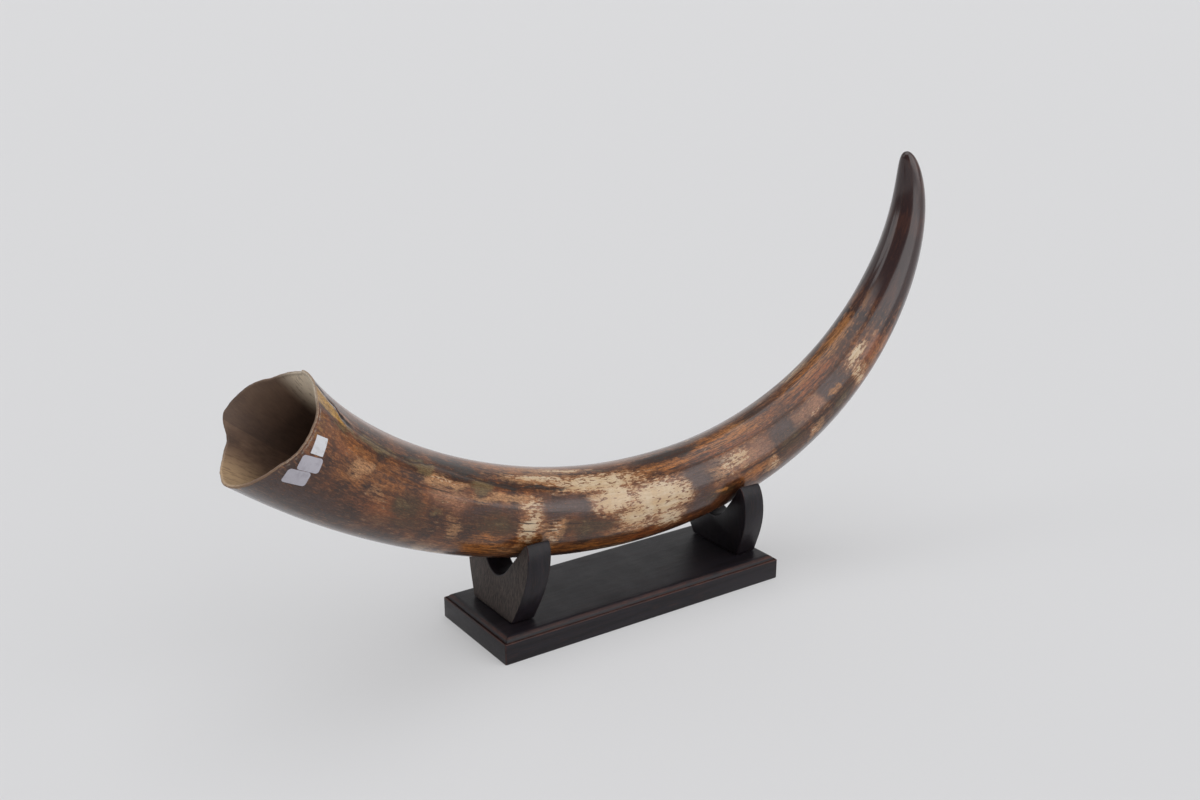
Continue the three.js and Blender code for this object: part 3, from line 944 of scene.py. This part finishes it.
def solid_from_rings(name, rings, unit=MM):
    """A closed solid from rings of points, in millimetres unless another unit is given."""
    shell = bmesh.new()
    rows = [[shell.verts.new(Vector(p) * unit) for p in ring] for ring in rings]
    count = len(rows[0])
    for low, high in zip(rows, rows[1:]):
        for i in range(count):
            j = (i + 1) % count
            shell.faces.new((low[i], low[j], high[j], high[i]))
    shell.faces.new(rows[0])
    shell.faces.new(rows[-1])
    bmesh.ops.recalc_face_normals(shell, faces=shell.faces)
    mesh = bpy.data.meshes.new(name)
    shell.to_mesh(mesh)
    shell.free()
    made = bpy.data.objects.new(name, mesh)
    scene.collection.objects.link(made)
    return made


def paper_piece(name, at_along, at_around, long_side, short_side, slant, corner):
    """A thin sheet with rounded corners, closed all round. Sizes are in millimetres."""
    spin = math.radians(slant)
    outline = []
    corners = rounded_rectangle(long_side / 2, short_side / 2, corner)
    for (x0, y0), (x1, y1) in zip(corners, corners[1:] + corners[:1]):
        steps = max(1, round(math.hypot(x1 - x0, y1 - y0) / OUTLINE_STEP))
        for step in range(steps):
            x, y = x0 + (x1 - x0) * step / steps, y0 + (y1 - y0) * step / steps
            outline.append((x * math.cos(spin) - y * math.sin(spin),
                            x * math.sin(spin) + y * math.cos(spin)))
    spreads = [0.2, 0.4, 0.6, 0.8, 0.97, 1.0]
    levels = [(s, PAPER_LOW) for s in spreads] + [(s, PAPER_HIGH) for s in reversed(spreads)]
    rings = [[on_bark(at_along + x * s, (at_around + y * s) / PAPER_RADIUS, lift)
              for x, y in outline] for s, lift in levels]
    return solid_from_rings(name, rings, unit=1.0)


def paper_finish(name, base, worn):
    """Sticker paper: faint fibres, a little grime, softly worn."""
    material, tree = new_finish(name)
    here = Wire.add(tree, "ShaderNodeTexCoord").out("Object")
    fibres = here.grain(2600.0, 3.0, 0.6)
    grime = here.grain(260.0, 3.0, 0.6)
    hue = mix(fibres.step(0.35, 0.65) * 0.25, base, worn)
    hue = mix(grime.step(0.50, 0.72) * 0.45, hue, worn)
    finish_with(tree, {
        "Base Color": hue, "Roughness": 0.55 + fibres * 0.2,
        "Normal": bumped(fibres, 0.25, 0.0001),
    })
    return material


white_paper = paper_finish("white paper", paint(206, 206, 210), paint(172, 170, 170))
lilac_paper = paper_finish("lilac grey paper", paint(172, 169, 177), paint(138, 134, 142))
for node, at_along, at_around, long_side, short_side, slant, corner, paper in (
    ("sticker_small", 14.3, 48.8, 9.0, 10.0, -13, 0.2, white_paper),
    ("sticker_upper", 15.6, 59.4, 14.2, 8.6, -16, 1.8, lilac_paper),
    ("sticker_lower", 14.4, 69.2, 14.2, 9.0, -17, 1.8, lilac_paper),
):
    sheet = paper_piece(node + "_paper", at_along, at_around, long_side, short_side, slant, corner)
    sheet.data.materials.append(paper)
    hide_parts(node)
    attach(sheet, "root")
    print(sheet.name, len(sheet.data.polygons), "faces")

# %% [markdown]
# ## The stand's wood
#
# The stand is a red-brown hardwood under a black stain. Stain lies thinner on arrises and beads,
# where hands rub it, and the red shows through there. Grain is noise stretched along the way the
# board was sawn: along the length for the board, and upright for the cradles, whose cut faces are
# rougher and greyer than the rest.

# %% Stained wood
def stained_wood(name, stretch, wear_of, face_share):
    """Black-stained wood. wear_of and face_share take a place and a normal, and return 0 to 1."""
    material, tree = new_finish(name)
    here = Wire.add(tree, "ShaderNodeTexCoord").out("Object") * 1000.0
    facing = Wire.add(tree, "ShaderNodeNewGeometry").out("Normal")
    lines = (here * stretch).grain(1.6, 4.0, 0.65)
    bands = (here * stretch).grain(0.35, 3.0, 0.5)
    pores = (here * stretch).grain(3.4, 2.0, 0.6)
    smudge = here.grain(0.06, 3.0, 0.6)
    hue = mix(bands.step(0.35, 0.65), paint(17, 15, 20), paint(27, 24, 30))
    hue = mix(lines.step(0.45, 0.70) * 0.5, hue, paint(50, 34, 31))
    rough_face = face_share(here, facing)
    sawn = mix(lines.step(0.36, 0.62), paint(44, 38, 37), paint(84, 74, 69))
    sawn = mix(pores.step(0.56, 0.66) * 0.7, sawn, paint(28, 24, 24))
    hue = mix(rough_face, hue, sawn)
    wear = (wear_of(here, facing) * (0.25 + smudge * 0.9) + (lines - 0.5) * 0.5).step(0.38, 0.80)
    hue = mix(wear * 0.6, hue, paint(84, 50, 40))
    height = lines * 0.5 + pores * (0.2 + rough_face * 0.8) + bands * 0.3
    gloss = 0.40 + (smudge - 0.5) * 0.25 + rough_face * 0.25 + (lines - 0.5) * 0.15
    finish_with(tree, {
        "Base Color": hue, "Roughness": gloss, "Normal": bumped(height, 0.35, 0.0005),
        "Specular IOR Level": 0.28,
    })
    return material


BOARD_LENGTH, BOARD_WIDTH = 220.0, 80.0
SLAB_HEIGHT, PANEL_HEIGHT, PANEL_INSET = 14.0, 17.0, 6.0


def board_wear(here, facing):
    """The slab's upper arris and its corners, and the crown of the bead."""
    x, y, z = here.split()
    _, side_facing, up_facing = facing.split()
    arris = z.within(12.4, 13.9, 14.0, 14.3)
    end = (x.abs() - BOARD_LENGTH / 2).step(-1.6, -0.2)
    corner = end * (y.abs() - BOARD_WIDTH / 2).step(-1.6, -0.2)
    bead = z.within(14.4, 15.6, 16.6, 17.1) * up_facing.step(0.99, 0.9)
    foot = z.step(1.2, 0.2) * 0.6
    long_side = side_facing.abs().step(0.9, 0.99) * z.step(13.4, 12.8) * 0.5
    return arris.max(corner).max(bead * 0.85).max(foot).max(long_side)


def cradle_wear(here, facing):
    """Where a cradle's edge turns into its sawn faces: its normal is half-way there."""
    across, _, _ = facing.split()
    _, _, z = here.split()
    tilt = across.abs()
    return tilt.within(0.15, 0.5, 0.75, 0.98) * (0.6 + z.step(60.0, 72.0) * 0.4)


def sawn_face(here, facing):
    """1 on the near cradle's two flat faces, which took less stain."""
    across, _, _ = facing.split()
    x, _, _ = here.split()
    return across.abs().step(0.90, 0.99) * x.step(20.0, -20.0)


def no_face(here, facing):
    return here.split()[0] * 0.0


board_wood = stained_wood("stained board", (0.05, 1.0, 1.0), board_wear, no_face)
cradle_wood = stained_wood("stained cradle", (1.0, 1.0, 0.06), cradle_wear, sawn_face)
print("woods:", board_wood.name, "and", cradle_wood.name)

# %% [markdown]
# ## The board
#
# A moulded board is one profile carried round a rectangle: a square slab, a narrow groove, and a
# quarter-round up to the raised panel. So it is built as that: a list of insets and heights, each
# drawn as a rectangle with slightly rounded corners, and skinned one to the next.

# %% Board
def quarter_round(inset, height, wide, tall, steps):
    """A quarter of an oval in the profile, from its foot inwards and up."""
    angles = [math.radians(90 * step / steps) for step in range(steps + 1)]
    return [(inset + wide * (1 - math.cos(a)), height + tall * math.sin(a)) for a in angles]


ARRIS = 0.45
GROOVE_INSET, GROOVE_FLOOR = 1.6, 13.2
profile = [(1.0, 0.0), (0.25, 0.12), (0.0, 0.7)]
profile += quarter_round(0.0, SLAB_HEIGHT - ARRIS, ARRIS, ARRIS, 4)
profile += [(0.7, 13.95), (0.85, 13.3), (1.1, GROOVE_FLOOR), (1.55, GROOVE_FLOOR)]
profile += quarter_round(GROOVE_INSET, GROOVE_FLOOR, PANEL_INSET - GROOVE_INSET,
                         PANEL_HEIGHT - GROOVE_FLOOR, 14)[1:]
profile.append((PANEL_INSET + 3.0, PANEL_HEIGHT))


def smooth_below(mesh, degrees):
    """Shades smooth across edges flatter than this angle, and keeps the rest sharp."""
    for face in mesh.polygons:
        face.use_smooth = True
    mesh.set_sharp_from_angle(angle=math.radians(degrees))


board_rings = []
for inset, height in profile:
    radius = 0.9 if inset < 1.0 else 0.7
    flat = rounded_rectangle(BOARD_LENGTH / 2 - inset, BOARD_WIDTH / 2 - inset, radius)
    board_rings.append([(x, y, height) for x, y in flat])
board = solid_from_rings("board", board_rings)
smooth_below(board.data, 30)
board.data.materials.append(board_wood)
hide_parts("stand_board")
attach(board, "root")
print("board:", len(board.data.polygons), "faces")

# %% [markdown]
# ## The cradles
#
# Both cradles were sawn from one pattern: a narrow foot, sides that swell and close in to two
# rounded horns, and a V between them. The pattern is a list of smooth curves. It is pushed out to
# the plate's thickness, leaned towards the middle of the board, and its edges are eased by a bevel.

# %% Cradles
CRADLE_THICKNESS = 16.5
CRADLE_LEAN = 6.5
GLUE_GAP = 0.3
HORN_TOP = 55.0


def bend(start, *pulls, steps=18):
    """Points along a curve from its start through its pull points to its last point."""
    points = []
    for step in range(1, steps + 1):
        t = step / steps
        row = [Vector(p) for p in (start, *pulls)]
        while len(row) > 1:
            row = [a.lerp(b, t) for a, b in zip(row, row[1:])]
        points.append(tuple(row[0]))
    return points


def cradle_outline(notch_depth):
    """Half the pattern, from the foot up over the horn and down into the V, then mirrored."""
    bottom = HORN_TOP - notch_depth
    flank_top = (27.0, bottom + 24.5)
    flank_end = (14.0, bottom + 8.4)
    half = [(24.0, 0.0)]
    half += bend(half[-1], (31, 15), (37.6, 26), (37.2, HORN_TOP - 13), steps=24)
    half += bend(half[-1], (36.9, HORN_TOP - 5), (33.5, HORN_TOP - 0.8), steps=10)
    half += bend(half[-1], (31, HORN_TOP + 1), flank_top, steps=14)
    half += [flank_end]
    valley = bend(flank_end, (0, bottom - 8.4), (-14.0, bottom + 8.4), steps=24)
    mirrored = [(-x, y) for x, y in reversed(half[:-1])]
    return half + valley + mirrored


def cradle(name, node, foot_x, lean, notch_depth):
    outline = cradle_outline(notch_depth)
    slide = math.tan(math.radians(lean))
    base = PANEL_HEIGHT + GLUE_GAP
    rings = [[(foot_x + depth + up * slide, across, base + up) for across, up in outline]
             for depth in (0.0, CRADLE_THICKNESS)]
    plate = solid_from_rings(name, rings)
    eased = plate.modifiers.new("eased edges", "BEVEL")
    eased.width = 0.8 * MM
    eased.segments = 3
    eased.limit_method = "ANGLE"
    eased.angle_limit = math.radians(50)
    evaluated = plate.evaluated_get(bpy.context.evaluated_depsgraph_get())
    finished = bpy.data.meshes.new_from_object(evaluated)
    plate.modifiers.remove(eased)
    plate.data = finished
    smooth_below(plate.data, 30)
    plate.data.materials.clear()
    plate.data.materials.append(cradle_wood)
    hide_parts(node)
    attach(plate, "root")
    return plate


near_cradle = cradle("near_cradle", "cradle_near", -96.0, CRADLE_LEAN, 30.6)
far_cradle = cradle("far_cradle", "cradle_far", 85.8, -CRADLE_LEAN, 32.0)
print("cradles:", len(near_cradle.data.polygons), "and", len(far_cradle.data.polygons), "faces")
